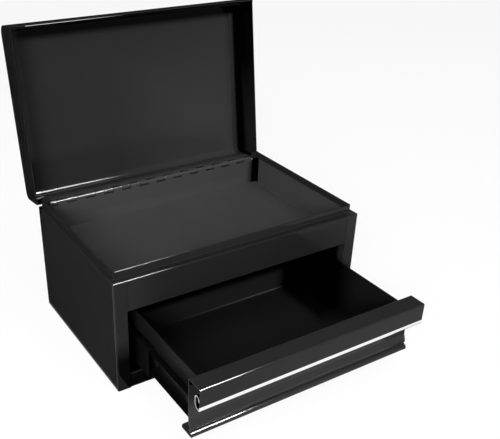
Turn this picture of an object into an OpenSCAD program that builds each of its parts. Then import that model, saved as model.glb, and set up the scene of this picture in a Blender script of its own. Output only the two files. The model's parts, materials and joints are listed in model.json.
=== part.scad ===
// Small sheet-steel tool chest: hinged lid, top tray and one drawer on ball-bearing slides.
// +X is to the right, -Y to the front and +Z up. The origin is the centre of the cabinet's underside.
// It is drawn as it stands in use: lid open against its stop, drawer pulled fully out.

/* [Cabinet] */
// Outside width of the cabinet and of the lid
body_w = 330; // [280:1:420]
// Outside depth of the cabinet and of the lid
body_d = 211; // [190:1:280]
// Height of the ledge under the lid
body_h = 140; // [125:1:200]
// Thickness of the painted sheet
sheet = 0.9; // [0.7:0.05:1.2]
// Outside radius of the cabinet's bends
bend_r = 1.6; // [1.3:0.1:2]
// Width of each stile beside the drawer
stile_w = 16; // [12:0.5:24]
// Depth of the jamb turned in behind each stile
jamb_d = 14; // [6:0.5:14]
// Height of the rail below the drawer
rail_h = 15; // [10:0.5:24]
// Height of the fascia above the drawer
fascia_h = 38.5; // [30:0.5:60]
// Depth of the flange turned in along the fascia's lower edge and the rail's top
return_d = 7; // [4:0.5:8]
// Seam between a stile and the fascia or rail
seam = 0.4; // [0.2:0.1:0.8]
// Width of the weld flanges inside the cabinet
weld_flange = 12; // [8:0.5:14]
// Reach of the lip turned out along the back panel's top, under the hinge barrel
back_lip = 2.4; // [2:0.1:3]

/* [Tray] */
// Depth of the ledge in front of the collar
ledge_front = 8.5; // [7:0.5:14]
// Width of the ledge beside the collar
ledge_side = 4.3; // [4:0.1:8]
// Height of the collar above the ledge
collar_h = 9; // [6:0.5:14]
// Height of the hem folded down inside the collar
collar_hem = 8.5; // [5:0.5:12]
// Depth of the tray floor below the ledge
tray_depth = 37; // [25:0.5:60]
// Width of the open notch at each front corner of the collar
corner_notch = 2.4; // [1:0.1:4]
// Width of the open slot at the rear end of each side wall, below the collar
rear_slot = 5; // [2:0.5:10]
// Clearance from the collar's rear end to the closed lid's weld flanges
collar_gap = 0.5; // [0.3:0.1:1]
// Lap of the collar's rear returns in front of the hinge's ends
return_lap = 2; // [0:0.5:4]

/* [Lid] */
// Height of the lid from rim to top
lid_h = 36; // [30:0.5:60]
// Gap between the closed lid's rim and the ledge
lid_gap = 2.5; // [2.2:0.1:5]
// Outside radius of the bend along the lid's front edge
lid_front_r = 11.5; // [6:0.5:14]
// Outside radius of the bend along the lid's back edge
lid_back_r = 8.5; // [4:0.5:12]
// Height of the hem folded up inside the end caps' rims
lid_hem = 7; // [4:0.5:10]
// Outside radius of the roll along the lid's front rim
rim_roll = 2.4; // [1.2:0.1:3]
// Width of the end caps' weld flange
cap_flange = 17.3; // [6:0.1:20]
// Height of the creased line across the outside of each end cap
cap_crease_h = 8; // [6:0.5:14]
// Angle of the open lid from closed, in degrees
lid_open = 97.8; // [90:0.1:110]

/* [Hinge] */
// Length of the piano hinge
hinge_len = 303.4; // [220:0.2:304]
// Length of one knuckle
knuckle_len = 12.7; // [10:0.1:20]
// Diameter of the hinge pin
pin_d = 3.2; // [2.4:0.1:3.4]
// Radial running clearance of the pin in the knuckles
pin_clear = 0.05; // [0.02:0.01:0.09]
// Thickness of the hinge leaves
leaf_t = 0.9; // [0.7:0.05:1.2]
// Width of each leaf from the pin
leaf_w = 22; // [14:0.5:26]
// Drop of the pin below the ledge
pin_drop = 0.5; // [0.3:0.1:1]
// Clear gap between the knuckles of the two leaves and round the barrel
knuckle_gap = 0.7; // [0.3:0.1:0.8]
// Clearance round a leaf in the notches of the weld flanges beside it
leaf_gap = 0.5; // [0.3:0.1:1]

/* [Drawer] */
// Travel of the drawer from closed to fully out
drawer_out = 135; // [80:1:140]
// Setback of the drawer's lower front behind the stiles when closed
front_recess = 15.5; // [10:0.5:16]
// Gap from the drawer front to each stile
front_gap_x = 4; // [2:0.5:8]
// Gap from the pull's top to the fascia
front_gap_top = 7.5; // [4:0.5:12]
// Gap from the drawer front to the rail
front_gap_foot = 7.5; // [4:0.5:12]
// Room on each side between the slide and the opening's edge
slide_room = 4; // [2:0.5:8]
// Drop of the drawer's side walls below the pull's top
wall_drop = 6; // [3:0.5:14]
// Height of the hem along the drawer's walls
drawer_hem = 5; // [3:0.5:10]
// Clear depth behind the closed drawer, up to the outside of the back
back_room = 19.5; // [16:0.5:40]

/* [Pull] */
// Depth of the pull from the drawer front's face
pull_d = 20.7; // [16:0.1:30]
// Height of the pull's painted face
pull_face = 21; // [12:0.5:26]
// Thickness of the bright trim strip
trim_t = 0.8; // [0.6:0.1:1.2]
// Height of the trim that shows below the face
trim_show = 4.9; // [4:0.1:8]
// Depth of the trim's hook behind the face
trim_hook_d = 8.5; // [6:0.5:10]
// Height of the trim's hook
trim_hook_h = 16.5; // [12:0.5:20]
// Length of the straight tip turned down behind the face
trim_tip = 2; // [0.5:0.5:4]
// Overhang of the trim past each end of the pull
trim_over = 0.6; // [0:0.1:2]

/* [Front foot] */
// Height of the step where the upper bead leaves the face, above the foot
bead_top = 13.5; // [12.5:0.5:20]
// Height of the groove's upper fold above the foot
groove_hi = 8.4; // [8:0.1:9.5]
// Height of the groove's lower fold above the foot
groove_lo = 5.8; // [5:0.1:6]
// Stand-out of the upper bead in front of the face
bead_out = 2.7; // [2.4:0.1:4]
// Outside radius of the round along the top of the upper bead
bead_r = 2.4; // [1.2:0.1:3]
// Height where the face begins to flare out to the upper bead, above the foot
flare_top = 19; // [16:0.5:24]
// Depth of the groove between the beads
groove_d = 1.4; // [1.3:0.1:2]
// Stand-out of the foot in front of the face
foot_out = 5.8; // [3.8:0.1:7]
// Outside radius of the round along the top of the lower bead
foot_r = 3.9; // [1.6:0.1:4]
// Depth of the flange under the drawer, behind the face
foot_return = 16.5; // [10:0.5:24]
// Radius of the flange's rear corners
flange_r = 4; // [1:0.5:8]

/* [Slides] */
// Thickness of a slide from bracket to drawer wall
slide_t = 13; // [12.5:0.1:15]
// Height of a slide's outer member
slide_h = 45; // [45:0.5:50]
// Thickness of the slide steel
slide_steel = 1.1; // [0.9:0.05:1.2]
// Thickness of the bracket sheet
bracket_t = 1.2; // [0.9:0.1:1.5]
// Height of the slide's centre line above the drawer's underside
slide_rise = 26; // [24:0.5:30]
// Diameter of the steel balls
ball_d = 2.8; // [2.4:0.1:2.9]
// Free play of a ball on each side of its track
ball_play = 0.3; // [0.2:0.05:0.4]
// Thickness of the ball cages
cage_t = 0.6; // [0.4:0.1:0.7]
// Setback of the middle member behind the outer one when closed
middle_setback = 19; // [8:0.5:30]
// Length of the outer ball cage
outer_cage_len = 90; // [60:1:94]
// Length of the inner ball cage
inner_cage_len = 72; // [48:1:74]
// Spacing of the balls along a cage
ball_pitch = 12; // [8:0.5:16]
// Thickness of the rubber stop at the rear of each slide
stop_t = 5; // [3:0.5:8]
// Diameter of the rivets
rivet_d = 4; // [3:0.1:4.8]

/* [Hidden] */
$fn = 48;
half_w = body_w / 2;
half_d = body_d / 2;
open_x = half_w - stile_w;
open_top = body_h - fascia_h;
bend_c = bend_r - sheet / 2;
past = 1;

// Hinge
knuckle_r = pin_d / 2 + pin_clear + leaf_t;
pin_y = half_d - sheet - leaf_t + knuckle_r;
pin_z = body_h - pin_drop;
back_top = pin_z - knuckle_r - knuckle_gap;
knuckles = ceil(hinge_len / knuckle_len);

// Tray and lid
tray_x = half_w - ledge_side;
tray_front = -half_d + ledge_front;
tray_back = half_d - sheet - leaf_t;
tray_floor = body_h - tray_depth;
collar_top = body_h + collar_h;
collar_back = tray_back - collar_gap;
collar_end_x = min(hinge_len / 2 - return_lap, tray_x - 2 * sheet);
rim_z = body_h + lid_gap;
lid_top = rim_z + lid_h;
crease_w = 1;
crease_d = sheet * 0.4;

// Drawer, closed; the whole drawer is then moved out by its travel
face_y = -half_d + front_recess;
front_x = open_x - front_gap_x;
foot_z = rail_h + front_gap_foot;
pull_top = open_top - front_gap_top;
pan_x = open_x - slide_room - slide_t;
pan_front = face_y + sheet;
pan_back = half_d - back_room;
pan_z = foot_z + sheet;
pan_top = pull_top - wall_drop;
pull_lip = pull_top - pull_face;
least_run = 0.1;
fold_c = sheet / 2 + least_run;
bead_round = min(bead_r - sheet / 2, bead_out - fold_c - least_run);
foot_round = min(foot_r - sheet / 2, foot_out - bead_out + groove_d - fold_c - least_run);

// Slides: x is counted from the bracket towards the drawer, z from the slide's centre line
slide_x = pan_x + slide_t;
slide_z = pan_z + slide_rise;
slide_shift = 2;
slide_front = pan_front + slide_shift;
slide_back = pan_back + slide_shift;
track = ball_d + 2 * ball_play;
middle_half = slide_h / 2 - slide_steel - track;
inner_half = middle_half - slide_steel - track;
steel_bend = slide_steel;
lip_depth = track * 0.8;
drawer_gap = 3;
flange_reach = slide_t - drawer_gap;
cage_room = 0.5;
web_gap = cage_t + 2 * cage_room;
middle_web = slide_steel + web_gap;
inner_reach = middle_web + slide_steel + web_gap;
outer_ball_x = (middle_web + flange_reach) / 2;
inner_ball_x = (inner_reach + flange_reach) / 2;
outer_ball_z = slide_h / 2 - slide_steel - track / 2;
inner_ball_z = middle_half - slide_steel - track / 2;
middle_front = slide_front + middle_setback;
stop_gap = 1;
middle_back = slide_back - stop_t - stop_gap;
inner_inset = 6;
inner_back = pan_back - inner_inset;
middle_share = 0.5;
middle_out = drawer_out * middle_share;
cage_margin = 4;
outer_cage_y = slide_front + cage_margin;
inner_cage_y = middle_front - middle_out + cage_margin;
outer_cage_web = slide_steel + cage_room;
inner_cage_web = middle_web + slide_steel + cage_room;
ball_slack = 0.15;
rivet_head_d = rivet_d * 1.75;
rivet_head_t = 1.4;
rivet_inset = 18;
rivet_rows = 3;

paint = [0.06, 0.06, 0.065];
bright = [0.86, 0.87, 0.88];
coated = [0.11, 0.11, 0.12];
steel = [0.72, 0.73, 0.75];
rubber = [0.12, 0.12, 0.12];

// Extrusions of a flat shape: (y, z) along x, (x, z) along y
module along_x(x0, x1) {
  translate([x0, 0, 0]) rotate([90, 0, 90]) linear_extrude(x1 - x0) children();
}

module along_y(y0, y1) {
  translate([0, y1, 0]) rotate([90, 0, 0]) linear_extrude(y1 - y0) children();
}

module along_z(z0, z1) {
  translate([0, 0, z0]) linear_extrude(z1 - z0) children();
}

module box(low, high) {
  translate(low) cube(high - low);
}

module rectangle(low, high) {
  translate(low) square(high - low);
}

// The right-hand pieces are mirror images of the left-hand ones
module on_side(side) {
  if (side == "right") mirror([1, 0, 0]) children();
  else children();
}

function unit(v) = v / norm(v);
function quarter_turn(v) = [-v[1], v[0]];
function heading(path, i) = unit(path[i + 1] - path[i]);
function turn(path, i) =
  let (a = heading(path, i - 1), b = heading(path, i))
  atan2(a[0] * b[1] - a[1] * b[0], a * b);
function setback(path, radii, i) =
  i == 0 || i == len(path) - 1 ? 0 : radii[i] * tan(abs(turn(path, i)) / 2);

// One bend: the ring sector that joins two straight runs
module bend_sector(path, radii, i, thick) {
  angle = turn(path, i);
  side = quarter_turn(heading(path, i - 1)) * sign(angle);
  start = path[i] - heading(path, i - 1) * setback(path, radii, i);
  first = atan2(-side[1], -side[0]);
  far = 2 * (radii[i] + thick);
  translate(start + side * radii[i])
    intersection() {
      difference() {
        circle(r = radii[i] + thick / 2);
        circle(r = radii[i] - thick / 2);
      }
      polygon([
        [0, 0],
        far * [cos(first), sin(first)],
        far * [cos(first + angle / 2), sin(first + angle / 2)],
        far * [cos(first + angle), sin(first + angle)]
      ]);
    }
}

// Sheet bent along a centre line; radii are the centre-line radii at the path's corners
module bent_sheet(path, radii, thick) {
  last = len(path) - 1;
  for (i = [0 : last - 1]) {
    run = heading(path, i);
    from = path[i] + run * setback(path, radii, i);
    to = path[i + 1] - run * setback(path, radii, i + 1);
    side = quarter_turn(run) * thick / 2;
    polygon([from - side, to - side, to + side, from + side]);
  }
  for (i = [1 : last - 1]) bend_sector(path, radii, i, thick);
}

function same_bend(path, radius) = [for (point = path) radius];

// Rounded outline of the sides and front, seen from above
module plan_outline() {
  back = half_d - sheet;
  rectangle([-half_w + bend_r, -half_d], [half_w - bend_r, back]);
  rectangle([-half_w, -half_d + bend_r], [half_w, back - bend_r]);
  for (x = [-half_w + bend_r, half_w - bend_r], y = [-half_d + bend_r, back - bend_r])
    translate([x, y]) circle(r = bend_r);
}

// Space inside the cabinet's bends, rounded along the top front and side edges
module cabinet_envelope() {
  intersection() {
    along_z(0, body_h) plan_outline();
    along_y(-half_d, half_d) {
      rectangle([-half_w, 0], [half_w, body_h - bend_r]);
      rectangle([-half_w + bend_r, 0], [half_w - bend_r, body_h]);
      for (x = [-half_w + bend_r, half_w - bend_r])
        translate([x, body_h - bend_r]) circle(r = bend_r);
    }
    along_x(-half_w, half_w) {
      rectangle([-half_d, 0], [half_d, body_h - bend_r]);
      rectangle([-half_d + bend_r, 0], [half_d, body_h]);
      translate([-half_d + bend_r, body_h - bend_r]) circle(r = bend_r);
    }
  }
}

// Room for a hinge leaf on the cabinet's or the closed lid's back, between two heights
module leaf_notch(low, high) {
  end_x = hinge_len / 2 + leaf_gap;
  box([-end_x, half_d - sheet - leaf_t - leaf_gap, low], [end_x, half_d, high]);
}

// Left-hand wall with its stile, jamb, ledge and rear weld flange
module side_panel() {
  rear_c = half_d - sheet - sheet / 2;
  wall_c = -half_w + sheet / 2;
  front_c = -half_d + sheet / 2;
  wall = [[-half_w + weld_flange, rear_c], [wall_c, rear_c], [wall_c, front_c], [-open_x, front_c]];
  jamb = [[-open_x - 2 * bend_r, front_c], [-open_x - sheet / 2, front_c],
          [-open_x - sheet / 2, -half_d + jamb_d]];
  intersection() {
    cabinet_envelope();
    union() {
      difference() {
        along_z(0, body_h) bent_sheet(wall, same_bend(wall, bend_c), sheet);
        leaf_notch(pin_z - leaf_w - leaf_gap, body_h + past);
        box([-open_x - bend_r, -half_d - past, rail_h], [0, -half_d + bend_r, open_top]);
      }
      along_z(rail_h, open_top) bent_sheet(jamb, same_bend(jamb, bend_c), sheet);
      box([-half_w, -half_d, body_h - sheet], [-half_w + ledge_side, half_d - sheet, body_h]);
      box([-half_w, -half_d, body_h - sheet], [-open_x, -half_d + ledge_front, body_h]);
    }
  }
}

module left_side() {
  color(paint) on_side("left") side_panel();
}

module right_side() {
  color(paint) on_side("right") side_panel();
}

module front_fascia() {
  path = [[-half_d + return_d, open_top + sheet / 2], [-half_d + sheet / 2, open_top + sheet / 2],
          [-half_d + sheet / 2, body_h - sheet / 2], [-half_d + ledge_front, body_h - sheet / 2]];
  color(paint)
    along_x(-open_x + seam, open_x - seam) bent_sheet(path, same_bend(path, bend_c), sheet);
}

// Back sheet; its top is turned out as a lip that closes the view under the hinge barrel
module back_panel() {
  path = [[half_d - sheet / 2, 0], [half_d - sheet / 2, back_top - sheet / 2],
          [half_d + back_lip, back_top - sheet / 2]];
  color(paint)
    along_x(-half_w + bend_r, half_w - bend_r) bent_sheet(path, same_bend(path, bend_c), sheet);
}

// Floor with the front rail, an upturned flange at the back and one along each side
module bottom_panel() {
  rail = [[-half_d + return_d, rail_h - sheet / 2], [-half_d + sheet / 2, rail_h - sheet / 2],
          [-half_d + sheet / 2, sheet / 2], [half_d - 1.5 * sheet, sheet / 2],
          [half_d - 1.5 * sheet, weld_flange]];
  flange_x = half_w - 1.5 * sheet;
  floor_path = [[-flange_x, weld_flange], [-flange_x, sheet / 2],
                [flange_x, sheet / 2], [flange_x, weld_flange]];
  color(paint) {
    along_x(-open_x + seam, open_x - seam) bent_sheet(rail, same_bend(rail, bend_c), sheet);
    along_y(-half_d + bend_r, half_d - sheet - bend_r)
      bent_sheet(floor_path, same_bend(floor_path, bend_c), sheet);
  }
}

// A closed hem on a wall whose outer face is at 0 and which ends at top; the fold lies on the + side
module hem(top, depth, thick) {
  rectangle([0, top - depth], [2 * thick, top - thick]);
  translate([thick, top - thick]) circle(r = thick);
}

// Clear of the closed lid: the rear end of the left collar, and the slot in the wall below it
module tray_rear_cut() {
  box([-tray_x - past, collar_back, body_h], [-tray_x + bend_r, tray_back + past, collar_top + past]);
  box([-tray_x - past, tray_back - rear_slot, tray_floor], [-tray_x + bend_r, tray_back + past, body_h]);
}

module tray_pan() {
  floor_c = tray_floor - sheet / 2;
  wall_end = collar_top - sheet;
  front_lap = 4 * corner_notch;
  cross = [[-tray_x + sheet / 2, wall_end], [-tray_x + sheet / 2, floor_c],
           [tray_x - sheet / 2, floor_c], [tray_x - sheet / 2, wall_end]];
  front = [[tray_front + sheet / 2, wall_end], [tray_front + sheet / 2, floor_c],
           [tray_front + front_lap, floor_c]];
  color(paint) {
    difference() {
      along_y(tray_front + corner_notch, tray_back) {
        bent_sheet(cross, same_bend(cross, bend_c), sheet);
        translate([-tray_x, 0]) hem(collar_top, collar_hem, sheet);
        mirror([1, 0]) translate([-tray_x, 0]) hem(collar_top, collar_hem, sheet);
      }
      for (side = ["left", "right"]) on_side(side) tray_rear_cut();
    }
    for (side = ["left", "right"])
      on_side(side)
        box([-tray_x, collar_back - sheet, body_h], [-collar_end_x, collar_back, collar_top]);
    along_x(-tray_x + corner_notch, tray_x - corner_notch) {
      bent_sheet(front, same_bend(front, bend_c), sheet);
      translate([tray_front, 0]) hem(collar_top, collar_hem, sheet);
    }
  }
}

// Channel between the left side wall and the slide, with a weld lip above and below
module slide_bracket() {
  lip = slide_h / 6;
  wall_c = -half_w + sheet + bracket_t / 2;
  web_c = -slide_x - bracket_t / 2;
  reach = slide_h / 2 - bracket_t / 2;
  path = [[wall_c, slide_z + reach + lip], [wall_c, slide_z + reach], [web_c, slide_z + reach],
          [web_c, slide_z - reach], [wall_c, slide_z - reach], [wall_c, slide_z - reach - lip]];
  difference() {
    along_y(slide_front, slide_back) bent_sheet(path, same_bend(path, 2 * bracket_t), bracket_t);
    rivet_holes(slide_front, slide_back) cylinder(h = 4 * bracket_t, d = rivet_d, center = true);
  }
}

module left_slide_bracket() {
  color(paint) on_side("left") slide_bracket();
}

module right_slide_bracket() {
  color(paint) on_side("right") slide_bracket();
}

// Places its child, drawn along z, on each rivet of the left slide's bracket face
module rivet_holes(front, back) {
  first = front + rivet_inset;
  pitch = (back - front - 2 * rivet_inset) / (rivet_rows - 1);
  for (i = [0 : rivet_rows - 1])
    translate([-slide_x, first + i * pitch, slide_z]) rotate([0, 90, 0]) children();
}

module slide_rivets() {
  color(steel) for (side = ["left", "right"]) on_side(side)
    rivet_holes(slide_front, slide_back) {
      translate([0, 0, -bracket_t]) cylinder(h = bracket_t + slide_steel, d = rivet_d);
      translate([0, 0, -bracket_t - rivet_head_t]) cylinder(h = rivet_head_t, d = rivet_head_d);
    }
}

// Slide members, drawn for the left slide

module in_slide(y0, y1) {
  along_y(y0, y1) translate([-slide_x, slide_z]) children();
}

module slide_outer() {
  web_c = slide_steel / 2;
  flange_c = slide_h / 2 - slide_steel / 2;
  lip_c = flange_reach - slide_steel / 2;
  lip_z = flange_c - lip_depth;
  path = [[lip_c, lip_z], [lip_c, flange_c], [web_c, flange_c],
          [web_c, -flange_c], [lip_c, -flange_c], [lip_c, -lip_z]];
  difference() {
    in_slide(slide_front, slide_back) bent_sheet(path, same_bend(path, steel_bend), slide_steel);
    rivet_holes(slide_front, slide_back) cylinder(h = 4 * slide_steel, d = rivet_d, center = true);
  }
}

module slide_middle() {
  web_c = middle_web + slide_steel / 2;
  flange_c = middle_half - slide_steel / 2;
  path = [[flange_reach, flange_c], [web_c, flange_c], [web_c, -flange_c], [flange_reach, -flange_c]];
  translate([0, -middle_out, 0])
    in_slide(middle_front, middle_back) bent_sheet(path, same_bend(path, steel_bend), slide_steel);
}

module slide_inner() {
  web_c = slide_t - slide_steel / 2;
  flange_c = inner_half - slide_steel / 2;
  path = [[inner_reach, flange_c], [web_c, flange_c], [web_c, -flange_c], [inner_reach, -flange_c]];
  translate([0, -drawer_out, 0]) difference() {
    in_slide(slide_front, inner_back) bent_sheet(path, same_bend(path, steel_bend), slide_steel);
    translate([slide_t, 0, 0]) rivet_holes(slide_front, inner_back)
      cylinder(h = 4 * slide_steel, d = rivet_d, center = true);
  }
}

module left_slide_outer() {
  color(coated) on_side("left") slide_outer();
}

module left_slide_middle() {
  color(coated) on_side("left") slide_middle();
}

module left_slide_inner() {
  color(coated) on_side("left") slide_inner();
}

module right_slide_outer() {
  color(coated) on_side("right") slide_outer();
}

module right_slide_middle() {
  color(coated) on_side("right") slide_middle();
}

module right_slide_inner() {
  color(coated) on_side("right") slide_inner();
}

// Each ball of a cage: two rows, above and below the slide's centre line
module at_balls(front, length, ball_x, ball_z) {
  count = floor((length - ball_d) / ball_pitch);
  first = front + (length - (count - 1) * ball_pitch) / 2;
  for (i = [0 : count - 1], z = [-ball_z, ball_z])
    translate([-slide_x + ball_x, first + i * ball_pitch, slide_z + z]) children();
}

module ball_cage(front, length, web_x, ball_x, ball_z) {
  web_c = web_x + cage_t / 2;
  reach = ball_x + ball_d / 2 + cage_t;
  path = [[reach, ball_z], [web_c, ball_z], [web_c, -ball_z], [reach, -ball_z]];
  difference() {
    in_slide(front, front + length) bent_sheet(path, same_bend(path, 1.5 * cage_t), cage_t);
    at_balls(front, length, ball_x, ball_z)
      cylinder(h = 4 * cage_t, d = ball_d + 2 * ball_slack, center = true);
  }
}

module balls(front, length, ball_x, ball_z) {
  at_balls(front, length, ball_x, ball_z) sphere(d = ball_d);
}

module outer_cage() {
  ball_cage(outer_cage_y, outer_cage_len, outer_cage_web, outer_ball_x, outer_ball_z);
}

module inner_cage() {
  ball_cage(inner_cage_y, inner_cage_len, inner_cage_web, inner_ball_x, inner_ball_z);
}

module outer_balls() {
  balls(outer_cage_y, outer_cage_len, outer_ball_x, outer_ball_z);
}

module inner_balls() {
  balls(inner_cage_y, inner_cage_len, inner_ball_x, inner_ball_z);
}

module left_outer_cage() {
  color(bright) on_side("left") outer_cage();
}

module left_inner_cage() {
  color(bright) on_side("left") inner_cage();
}

module right_outer_cage() {
  color(bright) on_side("right") outer_cage();
}

module right_inner_cage() {
  color(bright) on_side("right") inner_cage();
}

module left_outer_balls() {
  color(steel) on_side("left") outer_balls();
}

module left_inner_balls() {
  color(steel) on_side("left") inner_balls();
}

module right_outer_balls() {
  color(steel) on_side("right") outer_balls();
}

module right_inner_balls() {
  color(steel) on_side("right") inner_balls();
}

module slide_stops() {
  reach = slide_h / 5;
  color(rubber) for (side = ["left", "right"]) on_side(side)
    in_slide(slide_back - stop_t, slide_back)
      rectangle([slide_steel, -reach], [flange_reach, reach]);
}

// Hinge

function knuckle_end(i) = hinge_len / 2 - i * knuckle_len;
function knuckle_start(i) = max(knuckle_end(i) - knuckle_len, -hinge_len / 2);

// Closed leaf: the flat plate and every second knuckle, counted from the right-hand end
module leaf(first, plate_low, plate_high) {
  plate_y = pin_y - knuckle_r;
  box([-hinge_len / 2, plate_y, plate_low], [hinge_len / 2, plate_y + leaf_t, plate_high]);
  for (i = [first : 2 : knuckles - 1])
    if (knuckle_end(i) - knuckle_start(i) > 2 * knuckle_gap) {
      x0 = knuckle_start(i) + knuckle_gap / 2;
      x1 = knuckle_end(i) - knuckle_gap / 2;
      box([x0, plate_y, min(plate_low, pin_z)], [x1, plate_y + leaf_t, max(plate_high, pin_z)]);
      along_x(x0, x1) translate([pin_y, pin_z]) difference() {
        circle(r = knuckle_r);
        circle(r = pin_d / 2 + pin_clear);
      }
    }
}

module hinge_body_leaf() {
  color(paint) leaf(0, pin_z - leaf_w, back_top);
}

module hinge_lid_leaf() {
  color(paint) lid_pose() leaf(1, rim_z, pin_z + leaf_w);
}

module hinge_pin() {
  color(steel)
    along_x(-hinge_len / 2, hinge_len / 2) translate([pin_y, pin_z]) circle(d = pin_d);
}

// Lid, drawn closed and then swung open about the pin

module lid_pose() {
  translate([0, pin_y, pin_z]) rotate([-lid_open, 0, 0]) translate([0, -pin_y, -pin_z]) children();
}

module lid_section(front_start) {
  top_c = lid_top - sheet / 2;
  path = [[-half_d + sheet / 2, front_start], [-half_d + sheet / 2, top_c],
          [half_d - sheet / 2, top_c], [half_d - sheet / 2, rim_z]];
  bent_sheet(path, [0, lid_front_r - sheet / 2, lid_back_r - sheet / 2, 0], sheet);
}

module lid_panel() {
  hem_x = half_w - cap_flange - sheet;
  color(paint) lid_pose() {
    along_x(-hem_x, hem_x) {
      lid_section(rim_z + rim_roll);
      translate([-half_d + rim_roll, rim_z + rim_roll]) difference() {
        circle(r = rim_roll);
        circle(r = rim_roll - sheet);
      }
    }
    along_x(-half_w, -hem_x) lid_section(rim_z);
    along_x(hem_x, half_w) lid_section(rim_z);
  }
}

// Outline of the lid seen from its end, set in from the outside and reaching down to low
module lid_outline(inset, low) {
  rectangle([-half_d + lid_front_r, low], [half_d - lid_back_r, lid_top - inset]);
  rectangle([-half_d + inset, low], [0, lid_top - lid_front_r]);
  rectangle([0, low], [half_d - inset, lid_top - lid_back_r]);
  translate([-half_d + lid_front_r, lid_top - lid_front_r]) circle(r = lid_front_r - inset);
  translate([half_d - lid_back_r, lid_top - lid_back_r]) circle(r = lid_back_r - inset);
}

// Left-hand end cap: a plate inside the bent panel, with a flange all round and a hemmed rim
module lid_end() {
  hem_y = half_d - 3 * sheet;
  difference() {
    along_x(-half_w, -half_w + cap_flange) lid_outline(sheet, rim_z);
    along_x(-half_w + sheet, half_w) lid_outline(2 * sheet, rim_z - past);
    box([-half_w - past, -hem_y, rim_z - past], [-half_w + 2 * sheet, hem_y, rim_z + sheet]);
    box([-half_w - past, -half_d, rim_z + cap_crease_h],
        [-half_w + crease_d, half_d, rim_z + cap_crease_h + crease_w]);
    leaf_notch(rim_z - past, pin_z + leaf_w + leaf_gap);
  }
  along_y(-hem_y, hem_y)
    translate([-half_w, rim_z]) mirror([0, 1]) hem(0, lid_hem, sheet);
}

module lid_left_end() {
  color(paint) lid_pose() on_side("left") lid_end();
}

module lid_right_end() {
  color(paint) lid_pose() on_side("right") lid_end();
}

// Drawer, drawn closed and then moved out

module drawer_pose() {
  translate([0, -drawer_out, 0]) children();
}

module drawer_pan() {
  wall_c = pan_x - sheet / 2;
  floor_c = pan_z + sheet / 2;
  wall_end = pan_top - sheet;
  cross = [[-wall_c, wall_end], [-wall_c, floor_c], [wall_c, floor_c], [wall_c, wall_end]];
  color(paint) drawer_pose() difference() {
    union() {
      along_y(pan_front, pan_back) {
        bent_sheet(cross, same_bend(cross, bend_c), sheet);
        translate([-pan_x + sheet, 0]) mirror([1, 0]) hem(pan_top, drawer_hem, sheet);
        translate([pan_x - sheet, 0]) hem(pan_top, drawer_hem, sheet);
      }
      box([-pan_x + sheet, pan_back - sheet, pan_z + sheet], [pan_x - sheet, pan_back, pan_top - sheet]);
      along_x(-pan_x + sheet, pan_x - sheet)
        translate([pan_back - 2 * sheet, 0]) hem(pan_top, drawer_hem, sheet);
    }
    for (side = ["left", "right"]) on_side(side)
      translate([slide_t, 0, 0]) rivet_holes(slide_front, inner_back)
        cylinder(h = 4 * sheet, d = rivet_d, center = true);
  }
}

module drawer_rivets() {
  color(steel) drawer_pose() for (side = ["left", "right"]) on_side(side)
    translate([slide_t, 0, 0]) rivet_holes(slide_front, inner_back) {
      translate([0, 0, -slide_steel]) cylinder(h = slide_steel + sheet, d = rivet_d);
      translate([0, 0, -slide_steel - rivet_head_t]) cylinder(h = rivet_head_t, d = rivet_head_d);
    }
}

// Flange under the drawer, with rounded rear corners; it laps the front's lowest bend
module foot_flange() {
  back = face_y + foot_return;
  corner_x = front_x - flange_r;
  along_z(foot_z, foot_z + sheet) {
    rectangle([-front_x, face_y], [front_x, back - flange_r]);
    rectangle([-corner_x, face_y], [corner_x, back]);
    for (x = [-corner_x, corner_x]) translate([x, back - flange_r]) circle(r = flange_r);
  }
}

// Formed front: flange under the drawer, two beads, flat face, then the pull's top and face
// Slope from the drawer front's face out to the straight of the upper bead
module front_flare() {
  start = foot_z + max(flare_top, bead_top + sheet);
  end = foot_z + bead_top + sheet / 2 - bead_r;
  polygon([[face_y + least_run, start], [face_y, start], [face_y - bead_out, end],
           [face_y - bead_out + sheet / 2, end], [face_y + least_run, foot_z + bead_top]]);
}

module drawer_front() {
  face_c = face_y + sheet / 2;
  foot_c = face_c - foot_out;
  bead_c = face_c - bead_out;
  groove_c = bead_c + groove_d;
  pull_c = face_c - pull_d;
  top_c = pull_top - sheet / 2;
  path = [
    [face_y + flange_r, foot_z + sheet / 2], [foot_c, foot_z + sheet / 2],
    [foot_c, foot_z + groove_lo], [groove_c, foot_z + groove_lo],
    [groove_c, foot_z + groove_hi], [bead_c, foot_z + groove_hi],
    [bead_c, foot_z + bead_top], [face_c, foot_z + bead_top],
    [face_c, top_c], [pull_c, top_c], [pull_c, pull_lip]
  ];
  radii = [0, bend_c, foot_round, fold_c, fold_c, fold_c, bead_round, fold_c, bend_c, bend_c, 0];
  color(paint) drawer_pose() {
    along_x(-front_x, front_x) {
      bent_sheet(path, radii, sheet);
      front_flare();
    }
    foot_flange();
  }
}

// Bright strip: shows flat below the pull's face, sweeps up behind it and curls over to its back
module pull_trim() {
  front_c = face_y - pull_d + trim_t / 2;
  back_c = front_c + trim_hook_d - trim_t;
  tip_c = face_y - pull_d + sheet + trim_t / 2;
  foot_c = pull_lip - trim_show + trim_t / 2;
  hook_c = pull_lip - trim_show + trim_hook_h - trim_t / 2;
  fold = trim_t;
  sweep = back_c - front_c - fold - least_run;
  curl = (back_c - tip_c - least_run) / 2;
  path = [[front_c, pull_lip], [front_c, foot_c], [back_c, foot_c], [back_c, hook_c],
          [tip_c, hook_c], [tip_c, hook_c - curl - trim_tip]];
  radii = [0, fold, sweep, curl, curl, 0];
  color(bright) drawer_pose()
    along_x(-front_x - trim_over, front_x + trim_over) bent_sheet(path, radii, trim_t);
}

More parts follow.
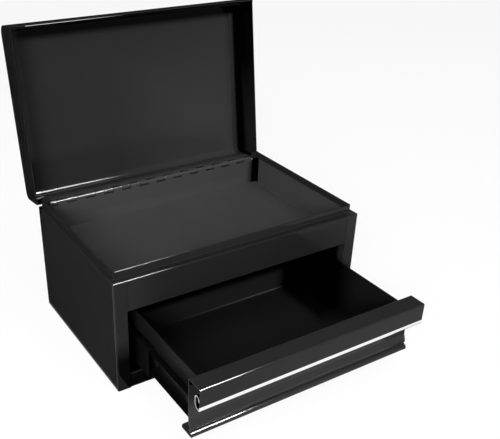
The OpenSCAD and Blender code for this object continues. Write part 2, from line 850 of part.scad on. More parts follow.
left_side();
right_side();
front_fascia();
back_panel();
bottom_panel();
tray_pan();
left_slide_bracket();
right_slide_bracket();
hinge_body_leaf();
hinge_lid_leaf();
hinge_pin();
lid_panel();
lid_left_end();
lid_right_end();
drawer_pan();
drawer_front();
pull_trim();
left_slide_outer();
left_slide_middle();
left_slide_inner();
right_slide_outer();
right_slide_middle();
right_slide_inner();
left_outer_cage();
left_inner_cage();
right_outer_cage();
right_inner_cage();
left_outer_balls();
left_inner_balls();
right_outer_balls();
right_inner_balls();
slide_rivets();
drawer_rivets();
slide_stops();
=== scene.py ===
# %% [markdown]
# # A small black tool chest, dressed for a studio picture
# The chest arrives as a finished assembly of sheet-steel parts, each with its own place and its own
# motion. This lesson gives every surface its finish, sets the chest on a pale floor, and lights it.
# Everything is in metres, in the chest's own frame: +X to its right, -Y to its front, +Z up.

# %% Load the chest
import json
import math

import bpy
from mathutils import Matrix, Vector


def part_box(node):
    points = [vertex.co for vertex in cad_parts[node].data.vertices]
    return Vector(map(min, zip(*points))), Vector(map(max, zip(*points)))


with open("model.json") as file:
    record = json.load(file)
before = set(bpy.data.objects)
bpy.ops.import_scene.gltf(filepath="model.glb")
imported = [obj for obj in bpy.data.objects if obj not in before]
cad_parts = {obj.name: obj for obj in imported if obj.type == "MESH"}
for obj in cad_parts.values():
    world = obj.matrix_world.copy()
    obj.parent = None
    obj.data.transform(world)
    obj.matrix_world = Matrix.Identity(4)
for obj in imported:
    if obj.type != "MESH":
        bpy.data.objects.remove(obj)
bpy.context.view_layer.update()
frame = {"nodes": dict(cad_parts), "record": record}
nodes = frame["nodes"]
scene = bpy.context.scene

# %% [markdown]
# ## The camera
# The picture looks down on the chest's left front corner from a little under a metre away. A camera
# could be aimed with a constraint, but plain angles are easier to check: the azimuth turns it round
# the chest, the elevation lifts it and the roll tilts the horizon by the last degree. The lens is given
# in pixels of a 500 by 439 picture, because that is how a focal length is read off a photograph.

# %% Place the camera
PICTURE_WIDTH = 500
PICTURE_HEIGHT = 439
FOCAL_PIXELS = 752.3
OPTICAL_AXIS_PIXEL = (206.0, 263.2)
SENSOR_WIDTH = 36.0
CAMERA_AT = Vector((-0.4310, -0.7068, 0.5479))
AZIMUTH, ELEVATION, ROLL = math.radians(-32.146), math.radians(30.274), math.radians(1.041)


def camera_axes():
    """Right, up and backward directions of the camera, as the columns of a rotation."""
    back = Vector((
        math.sin(AZIMUTH) * math.cos(ELEVATION),
        -math.cos(AZIMUTH) * math.cos(ELEVATION),
        math.sin(ELEVATION),
    ))
    level_right = Vector((0, 0, 1)).cross(back).normalized()
    level_up = back.cross(level_right)
    right = level_right * math.cos(ROLL) + level_up * math.sin(ROLL)
    return Matrix((right, back.cross(right), back)).transposed()


camera_data = bpy.data.cameras.new("studio_camera")
camera_data.sensor_fit = "HORIZONTAL"
camera_data.sensor_width = SENSOR_WIDTH
camera_data.lens = FOCAL_PIXELS * SENSOR_WIDTH / PICTURE_WIDTH
camera_data.shift_x = (PICTURE_WIDTH / 2 - OPTICAL_AXIS_PIXEL[0]) / PICTURE_WIDTH
camera_data.shift_y = (OPTICAL_AXIS_PIXEL[1] - PICTURE_HEIGHT / 2) / PICTURE_WIDTH
camera = bpy.data.objects.new("studio_camera", camera_data)
camera.matrix_world = Matrix.Translation(CAMERA_AT) @ camera_axes().to_4x4()
scene.collection.objects.link(camera)
scene.camera = camera
shift = (round(camera_data.shift_x, 3), round(camera_data.shift_y, 3))
print("camera lens", round(camera_data.lens, 2), "mm, shift", shift)

# %% [markdown]
# ## Building with shader nodes
# Every finish below is a small tree of shader nodes. Adding, setting and wiring each node by hand takes
# three lines or more, so one helper does all three. Inputs are given by name, with an underscore for a
# space, or by number as i0, i1 and i2 where a node's inputs share a name.

# %% Node helpers
def node_adder(tree):
    """A function that adds a node to this tree and feeds its inputs from sockets or plain values."""
    def add(kind, settings=None, **inputs):
        node = tree.nodes.new("ShaderNode" + kind)
        for key, value in (settings or {}).items():
            setattr(node, key, value)
        for key, value in inputs.items():
            socket = node.inputs[int(key[1:])] if key[0] == "i" else node.inputs[key.replace("_", " ")]
            if isinstance(value, bpy.types.NodeSocket):
                tree.links.new(value, socket)
            else:
                socket.default_value = value
        return node

    return add


def math_node(add, operation, *values, clamp=False):
    """The result of one sum on up to three numbers or sockets."""
    inputs = {f"i{i}": value for i, value in enumerate(values)}
    return add("Math", {"operation": operation, "use_clamp": clamp}, **inputs).outputs[0]


def empty_material(name):
    """A material with a bare tree: returns it, a function that adds nodes and one that sets its surface."""
    material = bpy.data.materials.new(name)
    material.use_nodes = True
    tree = material.node_tree
    tree.nodes.clear()
    output = tree.nodes.new("ShaderNodeOutputMaterial")

    def surface(shader_socket):
        tree.links.new(shader_socket, output.inputs["Surface"])

    return material, node_adder(tree), surface


def seen_by_eyes_and_mirrors(add):
    """1 for rays from the camera, straight or by way of a mirror or glass, and 0 for all other light."""
    path = add("LightPath").outputs
    mirrored = math_node(add, "MAXIMUM", path["Is Glossy Ray"], path["Is Transmission Ray"])
    return math_node(add, "MAXIMUM", path["Is Camera Ray"], mirrored)


print("node helpers ready")

# %% [markdown]
# ## The white floor
# A product shot stands on a pale seamless sweep. One large plane does the same here, because the camera
# looks down and never sees past its edge. The paper is a plain diffuse white; the camera and reflections
# see it mixed with an even white glow, which hides the fall-off of the lamps and still
# leaves the chest its shadow. More light would whiten the floor too, but it would grey the black paint.

# %% Lay the floor
FLOOR_SIZE = 14.0
FLOOR_WHITE = 0.86
FLOOR_GLOW = 0.9
PAPER_TOOTH = 0.01


def floor_finish():
    """Matt white sweep paper with a trace of tooth, glowing a little for eyes and mirrors."""
    material, add, surface = empty_material("sweep_paper")
    place = add("TexCoord").outputs["Object"]
    tooth = add("TexNoise", Vector=place, Scale=9.0, Detail=4.0).outputs["Fac"]
    tint = add("MapRange", Value=tooth, To_Min=FLOOR_WHITE - PAPER_TOOTH, To_Max=FLOOR_WHITE + PAPER_TOOTH)
    paper = add("BsdfDiffuse", Color=tint.outputs["Result"])
    glow = add("Emission", Strength=1.0)
    share = math_node(add, "MULTIPLY", seen_by_eyes_and_mirrors(add), FLOOR_GLOW)
    mix = add("MixShader", i0=share, i1=paper.outputs[0], i2=glow.outputs[0])
    surface(mix.outputs[0])
    return material


bpy.ops.mesh.primitive_plane_add(size=FLOOR_SIZE, location=(0, 0, 0))
floor = bpy.context.object
floor.name = "sweep_floor"
floor.data.materials.append(floor_finish())
scene.view_settings.view_transform = "Standard"
print("floor", FLOOR_SIZE, "m square")

# %% [markdown]
# ## The soft boxes
# Glossy black is lit twice. First, broad soft boxes light the paint itself: one overhead, one at the
# camera's left shoulder and a weak one in front. A real studio would show them as large pale shapes in
# every bend. Here they are simply left out of reflections, so the bends stay dark from end to end.

# %% Hang the soft boxes
CHEST_MIDDLE = (0, 0, 0.1)


def soft_box(name, at, aim, width, height, power):
    """A rectangular lamp at one point, turned to face another."""
    lamp = bpy.data.lights.new(name, "AREA")
    lamp.shape = "RECTANGLE"
    lamp.size = width
    lamp.size_y = height
    lamp.energy = power
    box = bpy.data.objects.new(name, lamp)
    box.location = at
    box.rotation_euler = (Vector(at) - Vector(aim)).to_track_quat("Z", "Y").to_euler()
    box.visible_camera = False
    scene.collection.objects.link(box)
    return box


fill_boxes = [
    soft_box("overhead_box", at=(0.25, -0.55, 2.0), aim=CHEST_MIDDLE, width=2.2, height=1.6, power=27),
    soft_box("shoulder_box", at=(-1.5, -1.6, 1.2), aim=CHEST_MIDDLE, width=1.2, height=1.0, power=88),
    soft_box("front_box", at=(0.2, -2.4, 1.0), aim=CHEST_MIDDLE, width=1.6, height=1.2, power=8),
]
for box in fill_boxes:
    box.visible_glossy = False
print("soft boxes:", ", ".join(box.name for box in fill_boxes))

# %% [markdown]
# ## The strips
# Then come narrow lamps that do the opposite: they show only as reflections. A long strip above the
# front right draws the thin white lines along the bends on the left. A bend that runs along X mirrors
# only what lies on a cone round it, so the strip's place along X sets where each line ends. The bead at
# the drawer front's foot is out of this strip's reach and has a strip of its own, leaning along its cone.
# That one is linked to the drawer front alone, or it would double the lines on the other bends.

# %% Hang the strips
FOOT_OF_FRONT = (-0.13, -0.23, 0.03)
FOOT_STRIP_LEAN = math.radians(-32)

gloss_strip = soft_box("gloss_strip", at=(0.40, -0.75, 1.70), aim=(0.40, -0.75, 0.0), width=0.46, height=0.90,
                       power=300)
foot_strip = soft_box("foot_strip", at=(0.57, -1.07, 1.30), aim=FOOT_OF_FRONT, width=0.20, height=1.32,
                      power=180)
foot_strip.rotation_euler.rotate_axis("Z", FOOT_STRIP_LEAN)
lit_by_foot_strip = bpy.data.collections.new("lit_by_foot_strip")
lit_by_foot_strip.objects.link(nodes["drawer_front"])
foot_strip.light_linking.receiver_collection = lit_by_foot_strip
for strip in (gloss_strip, foot_strip):
    strip.visible_diffuse = False
print("strips:", gloss_strip.name, "and", foot_strip.name)

# %% [markdown]
# ## The room
# The room itself is almost dark, so it adds next to nothing to the paint. A low camera would see that
# dark room past the floor's edge. The sweep could be built as a curved wall, but the wall would have to
# go all the way round. It is cheaper to let eyes and mirrors see the room's lower part as white as the
# floor, fading into the dark room higher up.

# %% Dim the room
ROOM_LIGHT = 0.03
SWEEP_FADES_FROM, SWEEP_FADES_TO = 0.35, 0.45

world = bpy.data.worlds.new("studio_room")
world.use_nodes = True
scene.world = world
background = world.node_tree.nodes["Background"]
background.inputs["Color"].default_value = (1, 1, 1, 1)
add = node_adder(world.node_tree)
upward = add("SeparateXYZ", Vector=add("TexCoord").outputs["Generated"]).outputs["Z"]
sweep = add("MapRange", Value=upward, From_Min=SWEEP_FADES_FROM, From_Max=SWEEP_FADES_TO,
            To_Min=FLOOR_GLOW, To_Max=ROOM_LIGHT).outputs["Result"]
seen_sweep = math_node(add, "MULTIPLY", seen_by_eyes_and_mirrors(add), sweep)
room_strength = math_node(add, "MAXIMUM", seen_sweep, ROOM_LIGHT)
world.node_tree.links.new(room_strength, background.inputs["Strength"])
print("room light", ROOM_LIGHT)

# %% [markdown]
# ## The black flags
# Seen at a flat angle even black paint mirrors the floor. A photographer sets black cards, called flags, just
# out of the picture where such a face would look. One stands close along the chest's left side and one far
# behind the open lid. One lies beside the open drawer, where the upper front would see the floor, and a small
# one before the left stile. The lying ones are graded from black to pale, so their edges don't show. All are
# seen by reflections only, so they neither hide the chest nor cast a shadow.

# %% Cut the felt
FELT_BLACK = 0.006
FELT_NAP = 0.004
FELT_PALE = 0.80
ALL_BLACK = ("X", 0.0, 1.0, FELT_BLACK)


def flag_finish(name, axis, near, far, far_shade):
    """Felt with a little nap: black, or graded along one axis from black near the chest to a paler shade."""
    material, add, surface = empty_material(name)
    place = add("TexCoord").outputs["Object"]
    nap = add("TexNoise", Vector=place, Scale=300.0).outputs["Fac"]
    across = add("SeparateXYZ", Vector=place).outputs[axis]
    grade = add("MapRange", Value=across, From_Min=near, From_Max=far, To_Min=FELT_BLACK, To_Max=far_shade)
    tint = math_node(add, "MULTIPLY_ADD", nap, FELT_NAP, grade.outputs["Result"])
    surface(add("BsdfDiffuse", Color=tint).outputs[0])
    return material


def card_corners(low, high):
    """The four corners of a standing or lying rectangle, in order round its edge."""
    across = [axis for axis in range(3) if low[axis] != high[axis]]
    corners = []
    for first, second in ((low, low), (high, low), (high, high), (low, high)):
        corner = list(low)
        corner[across[0]] = first[across[0]]
        corner[across[1]] = second[across[1]]
        corners.append(corner)
    return corners


def flag(name, low, high, grade=ALL_BLACK):
    """A card between two opposite corners that only reflections see."""
    mesh = bpy.data.meshes.new(name)
    mesh.from_pydata(card_corners(low, high), [], [(0, 1, 2, 3)])
    mesh.materials.append(flag_finish(name + "_felt", *grade))
    card = bpy.data.objects.new(name, mesh)
    scene.collection.objects.link(card)
    card.visible_camera = False
    card.visible_diffuse = False
    card.visible_transmission = False
    card.visible_shadow = False
    return card


# %% Set the flags
SIDE_FLAG_GAP = 0.0015
ON_FLOOR = 0.001
side_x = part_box("left_side")[0][0] - SIDE_FLAG_GAP
flags = [
    flag("side_flag", (side_x, -0.10, 0), (side_x, 0.95, 0.55)),
    flag("rear_flag", (-0.2, 1.2, 0), (1.4, 1.2, 0.7)),
    flag("floor_flag", (0.16, -0.30, ON_FLOOR), (0.60, -0.02, ON_FLOOR), ("X", 0.20, 0.36, FELT_PALE)),
    flag("stile_flag", (-0.152, -0.215, ON_FLOOR), (-0.050, -0.104, ON_FLOOR),
         ("Y", -0.165, -0.215, FELT_PALE)),
]
print("flags:", ", ".join(card.name for card in flags))

# %% [markdown]
# ## Painted shade and light by place
# A sprayed chest is not one black: light hardly reaches its folds, corners and hollows, so they look far
# darker than open faces, and some faces catch more light than others. The zones paint that shade and light
# into the paint's colour. A painted mask could say where, but it needs an unwrapped mesh and an image. A zone
# is simpler: a box in the chest's own coordinates, in which the coat takes another shade, with the depth over
# which it fades in from each of its faces. It is measured on the piece, so it travels with the piece. Most
# zones are the same at both ends, so they are written for the right one.

# %% Define a zone
CRISP = 0.0002
CRISP_ALL_ROUND = (CRISP, CRISP, CRISP)


def zone(low, high, shade, fade_low=CRISP_ALL_ROUND, fade_high=CRISP_ALL_ROUND, both_ends=True, stripes=None):
    """A box whose shade is painted in, darker for shade and paler for light. Stripes limit it to half of every
    pitch, counted to the left from a start.
    """
    return {"low": low, "high": high, "shade": shade, "fade_low": fade_low, "fade_high": fade_high,
            "both_ends": both_ends, "stripes": stripes}


def zone_mask(add, place, box):
    """1 well inside a zone, 0 outside it."""
    def depth(from_there, to_here, fade):
        inward = add("VectorMath", {"operation": "SUBTRACT"}, i0=to_here, i1=from_there).outputs[0]
        return add("VectorMath", {"operation": "DIVIDE"}, i0=inward, i1=fade).outputs[0]

    axes = add("SeparateXYZ", Vector=place).outputs
    if box["both_ends"]:
        from_middle = math_node(add, "ABSOLUTE", axes["X"])
        place = add("CombineXYZ", X=from_middle, Y=axes["Y"], Z=axes["Z"]).outputs[0]
    past_low = depth(box["low"], place, box["fade_low"])
    past_high = depth(place, box["high"], box["fade_high"])
    least = add("VectorMath", {"operation": "MINIMUM"}, i0=past_low, i1=past_high).outputs[0]
    inside = add("SeparateXYZ", Vector=least).outputs
    level = math_node(add, "MINIMUM", inside["X"], inside["Y"])
    mask = math_node(add, "MINIMUM", level, inside["Z"], clamp=True)
    if box["stripes"]:
        start, pitch = box["stripes"]
        turns = math_node(add, "DIVIDE", math_node(add, "SUBTRACT", start, axes["X"]), pitch)
        in_stripe = math_node(add, "LESS_THAN", math_node(add, "FRACT", turns), 0.5)
        mask = math_node(add, "MULTIPLY", mask, in_stripe)
    return mask


print("a zone fades over", CRISP, "m unless it says more")

# %% [markdown]
# ## Black enamel
# The sheet steel is sprayed with black enamel and baked. Up close such paint dries in shallow ripples,
# called orange peel, that break the reflections, and its gloss drifts a little across a panel. Noise in
# the object's own coordinates gives both, so the paint stays put when a part moves. The tray is a paler
# grey and the inside of the drawer a darker black with hardly any gloss, and zones paint shade and light
# in, so one function mixes every coat from its shade, its gloss and its zones. Gloss is a pair of
# roughnesses, and a low refraction weakens mirroring.

# %% Mix the black enamel
ENAMEL_IOR = 1.20
LID_IOR = 1.12
DULL_IOR = 1.08
COOL_TINGE = 1.03
HIGH_GLOSS = (0.05, 0.08)
GLOSS = (0.06, 0.10)
TRAY_GLOSS = (0.08, 0.13)
SATIN = (0.08, 0.14)
COATED = (0.28, 0.40)
MATT = (0.30, 0.36)


def new_material(name):
    """A material with one Principled shader: returns it, the shader, and functions to add and link nodes."""
    material, add, surface = empty_material(name)
    shader = add("BsdfPrincipled")
    surface(shader.outputs["BSDF"])

    def link(source, target):
        material.node_tree.links.new(source, shader.inputs[target])

    return material, shader, add, link


def grey(value):
    """A grey that leans a little to blue."""
    return (value, value, value * COOL_TINGE, 1)


def black_enamel(name, shade, gloss, zones=(), turn=None, refraction=ENAMEL_IOR):
    """A coat of one shade, and of other shades in its zones, which paint shade and light into its colour."""
    material, shader, add, link = new_material(name)
    shader.inputs["IOR"].default_value = refraction
    place = add("TexCoord").outputs["Object"]
    drift = add("TexNoise", Vector=place, Scale=14.0, Detail=3.0).outputs["Fac"]
    strength = add("MapRange", Value=drift, From_Min=0.3, From_Max=0.7, To_Min=0.95, To_Max=1.05)
    tone = add("RGB").outputs[0]
    tone.default_value = grey(shade)
    for box in zones:
        mask = zone_mask(add, turn(add, place) if turn else place, box)
        tone = add("MixRGB", Fac=mask, Color1=tone, Color2=grey(box["shade"])).outputs[0]
    tint = add("VectorMath", {"operation": "SCALE"}, i0=tone, Scale=strength.outputs["Result"])
    link(tint.outputs["Vector"], "Base Color")
    speck = add("TexNoise", Vector=place, Scale=420.0, Detail=2.0).outputs["Fac"]
    sheen = add("MapRange", Value=speck, From_Min=0.3, From_Max=0.7, To_Min=gloss[0], To_Max=gloss[1])
    link(sheen.outputs["Result"], "Roughness")
    peel = add("TexNoise", Vector=place, Scale=520.0, Detail=1.0).outputs["Fac"]
    bump = add("Bump", Height=peel, Strength=0.04, Distance=0.0003)
    link(bump.outputs["Normal"], "Normal")
    return material


print("enamel refraction", ENAMEL_IOR, "on the chest,", LID_IOR, "on the lid,", DULL_IOR, "on dull coats")

# %% [markdown]
# ## Bright strip
# The strip under the drawer's pull is rolled from bright-plated steel. It is a mirror with faint lines along
# its length, left by the rollers. A noise that is stretched along X makes those lines.

# %% Plate the strip
def bright_plate():
    """Mirror plating with roller lines along X."""
    material, shader, add, link = new_material("bright_plate")
    shader.inputs["Metallic"].default_value = 1.0
    place = add("TexCoord").outputs["Object"]
    along = add("Mapping", Vector=place, Scale=(6.0, 900.0, 900.0)).outputs["Vector"]
    lines = add("TexNoise", Vector=along, Scale=1.0, Detail=3.0).outputs["Fac"]
    tint = add("ValToRGB", Fac=lines)
    tint.color_ramp.elements[0].color = (0.88, 0.885, 0.89, 1)
    tint.color_ramp.elements[1].color = (0.96, 0.962, 0.965, 1)
    link(tint.outputs["Color"], "Base Color")
    gloss = add("MapRange", Value=lines, To_Min=0.10, To_Max=0.18)
    link(gloss.outputs["Result"], "Roughness")
    bump = add("Bump", Height=lines, Strength=0.03, Distance=0.0002)
    link(bump.outputs["Normal"], "Normal")
    return material


trim_plate = bright_plate()
print("mixed", trim_plate.name)

# %% [markdown]
# ## Cage steel and bare steel
# The slides are black-coated like the chest, but their ball cages are left as bright strip with cloudy
# patches where the plating took unevenly. The balls, rivets and hinge pin are bare steel. One function
# makes both metals, because only numbers differ.

# %% Plate the cages
def plated_steel(name, dark, light, gloss, cloud_scale):
    """Metal with cloudy patches between two tones and a rolled grain along Y."""
    material, shader, add, link = new_material(name)
    shader.inputs["Metallic"].default_value = 1.0
    place = add("TexCoord").outputs["Object"]
    clouds = add("TexNoise", Vector=place, Scale=cloud_scale, Detail=5.0).outputs["Fac"]
    tint = add("ValToRGB", Fac=clouds)
    for stop, position, tone in zip(tint.color_ramp.elements, (0.3, 0.7), (dark, light)):
        stop.position = position
        stop.color = (*tone, 1)
    link(tint.outputs["Color"], "Base Color")
    grain = add("Mapping", Vector=place, Scale=(800.0, 20.0, 800.0)).outputs["Vector"]
    rolled = add("TexNoise", Vector=grain, Scale=1.0, Detail=2.0).outputs["Fac"]
    sheen = add("MapRange", Value=rolled, To_Min=gloss[0], To_Max=gloss[1])
    link(sheen.outputs["Result"], "Roughness")
    bump = add("Bump", Height=rolled, Strength=0.05, Distance=0.0002)
    link(bump.outputs["Normal"], "Normal")
    return material


cage_steel = plated_steel("cage_steel", (0.50, 0.50, 0.50), (0.62, 0.62, 0.61), (0.20, 0.32), 90.0)
bare_steel = plated_steel("bare_steel", (0.45, 0.45, 0.46), (0.58, 0.58, 0.58), (0.16, 0.28), 120.0)
print("mixed", cage_steel.name, "and", bare_steel.name)

# %% [markdown]
# ## Rubber
# The stops at the back of the slides are moulded rubber: nearly black, without gloss, and with the fine
# grain of the mould. One fine noise drives both the colour and the roughness.

# %% Mould the stops
def stop_rubber():
    """Dull black rubber with a fine grain."""
    material, shader, add, link = new_material("stop_rubber")
    place = add("TexCoord").outputs["Object"]
    grain = add("TexNoise", Vector=place, Scale=700.0, Detail=3.0).outputs["Fac"]
    tint = add("ValToRGB", Fac=grain)
    tint.color_ramp.elements[0].color = (0.010, 0.010, 0.010, 1)
    tint.color_ramp.elements[1].color = (0.020, 0.020, 0.020, 1)
    link(tint.outputs["Color"], "Base Color")
    gloss = add("MapRange", Value=grain, To_Min=0.65, To_Max=0.85)
    link(gloss.outputs["Result"], "Roughness")
    return material


rubber = stop_rubber()
print("mixed", rubber.name)

# %% [markdown]
# ## Where things lie
# The zones are measured from the chest itself. Most start from a face that is read off a piece's own box,
# so they follow if the chest is made wider or deeper. A zone that goes on past the chest ends far off, and
# one that must stay off an outer face ends just inside the sheet.

# %% Read the faces
FAR = 1.0
SKIN = 0.0004
# Painted shade: the near-black that zones paint into hollows, corners and gaps where light does not reach.
PAINTED_SHADE_BLACK = 0.0004
LID_TOP = 0.1785
end_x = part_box("right_side")[1][0]
back_y = -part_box("left_side")[0][1]
front_y = -back_y
tray_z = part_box("tray_pan")[0][2]
ledge_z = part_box("right_side")[1][2]
hinge_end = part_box("hinge_pin")[1][0]
front_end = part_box("drawer_front")[1][0]
print("ends at X", round(end_x, 4), "back at Y", round(back_y, 4), "ledge at Z", round(ledge_z, 4))

# %% [markdown]
# ## Coats of the cabinet
# Painted shade makes the space below the tray black, seen past the open drawer, and so the slides' ends and
# the slide brackets inside it. It also puts a black patch at each rear corner of the tray, which reads as a
# dark slot. Painted shade darkens the stiles and the rail towards the floor, painted light pales the fascia's
# left end to meet the left stile in tone, and the tray's back wall is as grey as its floor. The sides are
# painted a little paler and the fascia a little darker than the plain enamel, to even out the light.

# %% Mix the cabinet's coats
# Painted shade: the slides' parts inside the cabinet go black, where light does not reach.
painted_shade_in_cabinet = zone((0, -0.1150, 0), (FAR, FAR, FAR), PAINTED_SHADE_BLACK, fade_low=(CRISP, 0.012, CRISP))
# Painted shade: a black patch at each rear corner of the tray and the sides, which reads as a dark slot.
painted_shade_rear_corner = zone((end_x - 0.0140, back_y - 0.0085, tray_z + 0.0009), (FAR, FAR, ledge_z + 0.0012), PAINTED_SHADE_BLACK,
                 fade_low=(0.0025, 0.0010, CRISP))
# Painted shade: the back panel and the hinge leaf darken towards each rear corner, softening the black patch.
painted_shade_corner_fade = zone((end_x - 0.0210, 0, tray_z), (FAR, FAR, ledge_z - 0.004), 0.004,
                  fade_low=(0.010, CRISP, CRISP))
# Painted shade: the cabinet's inside faces under the tray are black.
painted_shade_under_tray = zone((0, front_y + 0.0075, 0.0005), (end_x - SKIN, back_y - SKIN, tray_z + SKIN), PAINTED_SHADE_BLACK,
                  fade_low=(CRISP, 0.006, CRISP))
# Painted shade: the stiles and the rail darken towards the floor.
painted_shade_low_front = zone((0, -FAR, -FAR), (FAR, front_y + 0.0030, 0.070), 0.0015, fade_high=(CRISP, CRISP, 0.032))
# Painted light: the fascia's left end is paler, to meet the left stile in tone.
painted_light_fascia_end = zone((-FAR, -FAR, 0), (-0.1080, FAR, FAR), 0.0150, fade_high=(0.037, CRISP, CRISP),
                  both_ends=False)
tray_back = zone((0, 0, tray_z), (FAR, back_y - SKIN, FAR), 0.044)
collar = zone((0, -FAR, ledge_z + CRISP), (FAR, FAR, FAR), 0.013)
# The sides' base shade is painted a little paler than the plain enamel, to even out how light falls on them.
side_coat = black_enamel("side_coat", 0.0140, GLOSS, [painted_shade_rear_corner, painted_shade_under_tray, painted_shade_low_front])
# Painted shade: the slide brackets inside the cabinet are near black, where light does not reach.
bracket_painted_shade = black_enamel("bracket_painted_shade", 0.0008, MATT, refraction=DULL_IOR)
cabinet_coats = {
    "left_side": side_coat,
    "right_side": side_coat,
    # Painted shade: the fascia's base is a little darker than the plain enamel.
    "front_fascia": black_enamel("fascia_coat", 0.0108, GLOSS, [painted_light_fascia_end]),
    "tray_pan": black_enamel("tray_coat", 0.041, TRAY_GLOSS, [painted_shade_rear_corner, painted_shade_under_tray, collar]),
    "back_panel": black_enamel("back_coat", 0.0128, SATIN, [tray_back, painted_shade_under_tray, painted_shade_corner_fade]),
    "bottom_panel": black_enamel("bottom_coat", 0.0128, SATIN, [painted_shade_under_tray, painted_shade_low_front]),
    "left_slide_bracket": bracket_painted_shade,
    "right_slide_bracket": bracket_painted_shade,
    "hinge_body_leaf": black_enamel("hinge_coat", 0.040, SATIN, [painted_shade_corner_fade]),
}
print("cabinet:", len(cabinet_coats), "pieces with a coat of their own")

# %% [markdown]
# ## Coats of the lid
# The lid stands open in the picture, but its zones are easier to measure on the shut chest. So each point of
# the lid is first turned back about the hinge pin, by the angle in the record. Painted shade makes the hollow
# behind the front rim and the inside of the end caps black, with a paler painted half-shade on the caps towards
# the rim and the hinge, and darkens the caps' outer faces. Painted light makes the panel palest low on the
# right and the hinge leaf paler near the pin, and the gaps above the body's knuckles are black stripes of
# painted shade at the hinge's own pitch.

# %% Mix the lid's coats
KNUCKLE_PITCH = 0.0254
hinge = next(joint for joint in frame["record"]["behaviour"]["joints"] if joint["name"] == "lid_hinge")
open_angle = math.radians(hinge["range_deg"][1] - hinge["range_deg"][0])


def shut_lid(add, place):
    """Where a point of the open lid lies when the lid is shut: turned back about the hinge pin."""
    return add("VectorRotate", {"rotation_type": "X_AXIS"}, Vector=place, Center=hinge["pos_m"],
               Angle=open_angle).outputs["Vector"]


# Painted light: the lid panel grows paler towards the right.
painted_light_lid_right = zone((-0.12, -FAR, 0), (FAR, FAR, FAR), 0.0190, fade_low=(0.28, CRISP, CRISP), both_ends=False)
# Painted light: the panel is palest low on the right.
painted_light_lid_low_right = zone((-0.04, -0.05, 0), (FAR, FAR, FAR), 0.0270, fade_low=(0.20, 0.14, CRISP), both_ends=False)
# Painted shadow: the panel is black under the lid's front wall and rim.
painted_shade_lid_brow = zone((0, front_y + 0.0006, 0), (FAR, front_y + 0.0235, LID_TOP - SKIN), PAINTED_SHADE_BLACK,
                fade_high=(CRISP, 0.008, CRISP))
# Painted light: the lid's hinge leaf is paler near the pin, fading upward.
painted_light_hinge_root = zone((0, -FAR, 0), (FAR, FAR, 0.1600), 0.042, fade_high=(CRISP, CRISP, 0.016))
# Painted shade: black stripes on the leaf where the gaps above the body's knuckles fall in shadow.
painted_shade_hinge_gaps = zone((-FAR, -FAR, 0.1423), (FAR, FAR, 0.1432), PAINTED_SHADE_BLACK, both_ends=False,
                 stripes=(hinge_end, KNUCKLE_PITCH))
# Painted shade: the end caps' outer faces are darker than their insides.
painted_shade_cap_outside = zone((end_x - 0.0003, -FAR, 0), (FAR, FAR, FAR), 0.0085)
# Painted shadow: the inside of each end cap is black.
cap_shadow = zone((end_x - 0.0135, -FAR, 0), (end_x - SKIN, back_y, LID_TOP - SKIN), PAINTED_SHADE_BLACK,
                  fade_low=(0.004, CRISP, CRISP))
# Painted half-shade: the inside of each cap is paler towards the hinge and the rim.
painted_half_shade_cap_foot = zone((end_x - 0.0030, -0.030, 0), (end_x - SKIN, FAR, 0.176), 0.009,
                fade_low=(CRISP, 0.100, CRISP), fade_high=(CRISP, CRISP, 0.012))
# Painted shadow: the caps are black next to the lid's front wall.
painted_shade_cap_brow = zone((0, front_y + 0.0012, 0), (end_x - SKIN, front_y + 0.0200, LID_TOP - SKIN), PAINTED_SHADE_BLACK,
                fade_high=(CRISP, 0.004, CRISP))
cap_coat = black_enamel("cap_coat", 0.0160, GLOSS, [painted_shade_cap_outside, cap_shadow, painted_half_shade_cap_foot, painted_shade_cap_brow], shut_lid)
lid_coats = {
    "lid_panel": black_enamel("lid_coat", 0.0138, HIGH_GLOSS, [painted_light_lid_right, painted_light_lid_low_right, painted_shade_lid_brow], shut_lid,
                              refraction=LID_IOR),
    "lid_left_end": cap_coat,
    "lid_right_end": cap_coat,
    "hinge_lid_leaf": black_enamel("lid_leaf_coat", 0.0164, HIGH_GLOSS, [painted_light_hinge_root, painted_shade_hinge_gaps], shut_lid),
}
print("lid:", len(lid_coats), "pieces with a coat of their own")
print("the lid shuts by", round(math.degrees(open_angle), 1), "degrees")

# %% [markdown]
# ## Coats of the drawer
# The pan has a dull coat. Painted light makes its back wall a little paler, painted shadow makes it go black
# under the fascia, a painted highlight draws a bright fold at its foot, and painted shade loses the far corner
# on the right in the dark. The formed front is glossy and its base is painted a little darker than the plain
# enamel: painted light makes it paler along its foot and the top of the pull, and painted shade makes it black
# in the hollow behind the pull and dark at its sheet ends.
# These zones are measured with the drawer pulled out, as the picture shows it.

# %% Mix the drawer's coats
BACK_WALL_Y = -0.0535
HOLLOW_Z, HOLLOW_FADE = 0.052, 0.022
# Painted light: the drawer's back wall is a little paler.
painted_light_back_wall = zone((-FAR, BACK_WALL_Y, 0), (FAR, FAR, FAR), 0.0100, both_ends=False)
# Painted shadow: the back wall goes black under the fascia.
painted_shadow_under_fascia = zone((-FAR, BACK_WALL_Y, 0.0490), (FAR, FAR, FAR), PAINTED_SHADE_BLACK, fade_low=(CRISP, CRISP, 0.007),
                  both_ends=False)
# Painted highlight: a bright line along the fold at the back wall's foot.
painted_highlight_back_fold = zone((-0.070, -0.0540, 0.0243), (FAR, FAR, 0.0260), 0.060, fade_low=(0.160, CRISP, CRISP),
                 both_ends=False)
# Painted shade: the drawer's far right corner is black.
painted_shade_drawer_corner = zone((0.089, -0.155, 0), (FAR, FAR, FAR), PAINTED_SHADE_BLACK, fade_low=(0.014, 0.035, CRISP),
                     both_ends=False)
# Painted light: the top of the pull is paler.
painted_light_pull_top = zone((0, -FAR, 0.0931), (FAR, FAR, FAR), 0.0170)
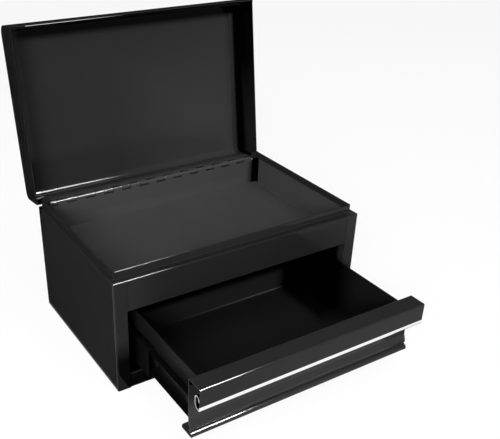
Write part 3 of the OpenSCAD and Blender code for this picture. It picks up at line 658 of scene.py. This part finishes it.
# Painted light: the lower part of the front, below the pull, is paler.
painted_light_front_foot = zone((0, -FAR, 0), (FAR, FAR, 0.0665), 0.0195)
# Painted shade: black in the hollow behind the pull, fading downward.
painted_shade_pull_hollow = zone((0, -0.2448, HOLLOW_Z), (FAR, -0.2242, 0.0932), 0.0008, fade_low=(CRISP, CRISP, HOLLOW_FADE))
# Painted shade: the sheet ends of the drawer front are dark.
painted_shade_front_ends = zone((front_end - 0.0003, -FAR, HOLLOW_Z), (FAR, FAR, FAR), 0.003,
                  fade_low=(CRISP, CRISP, HOLLOW_FADE))
pan_coat = black_enamel("drawer_coat", 0.0065, MATT, [painted_light_back_wall, painted_shadow_under_fascia, painted_highlight_back_fold, painted_shade_drawer_corner],
                        refraction=DULL_IOR)
drawer_coats = {
    "drawer_pan": pan_coat,
    "drawer_rivets": pan_coat,
    # Painted shade: the drawer front's base is a little darker than the plain enamel.
    "drawer_front": black_enamel("front_coat", 0.0108, GLOSS, [painted_light_pull_top, painted_light_front_foot, painted_shade_pull_hollow, painted_shade_front_ends]),
}
print("drawer:", len(drawer_coats), "pieces with a coat of their own")

# %% [markdown]
# ## Dress the pieces
# Each piece of the chest already carries the name of its finish in the record, so the finishes are handed
# out by that name, unless a piece has a coat of its own. The bends come as short facets, so faces that meet
# at a small angle are shaded as one.

# %% Hand out the finishes
SMOOTH_UNDER = math.radians(32)
finishes = {
    "black_paint": black_enamel("black_enamel", 0.0128, GLOSS),
    # The slides' black coat, with painted shade inside the cabinet.
    "coated_steel": black_enamel("electro_coat", 0.0025, COATED, [painted_shade_in_cabinet], refraction=DULL_IOR),
    "bright_trim": trim_plate,
    "cage_steel": cage_steel,
    "bare_steel": bare_steel,
    "stop_rubber": rubber,
}
own_coats = {**cabinet_coats, **lid_coats, **drawer_coats}
for part in frame["record"]["subparts"]:
    mesh = nodes[part["node"]].data
    mesh.materials.clear()
    mesh.materials.append(own_coats.get(part["node"], finishes[part["material_slot"]]))
    mesh.shade_smooth()
    mesh.set_sharp_from_angle(angle=SMOOTH_UNDER)
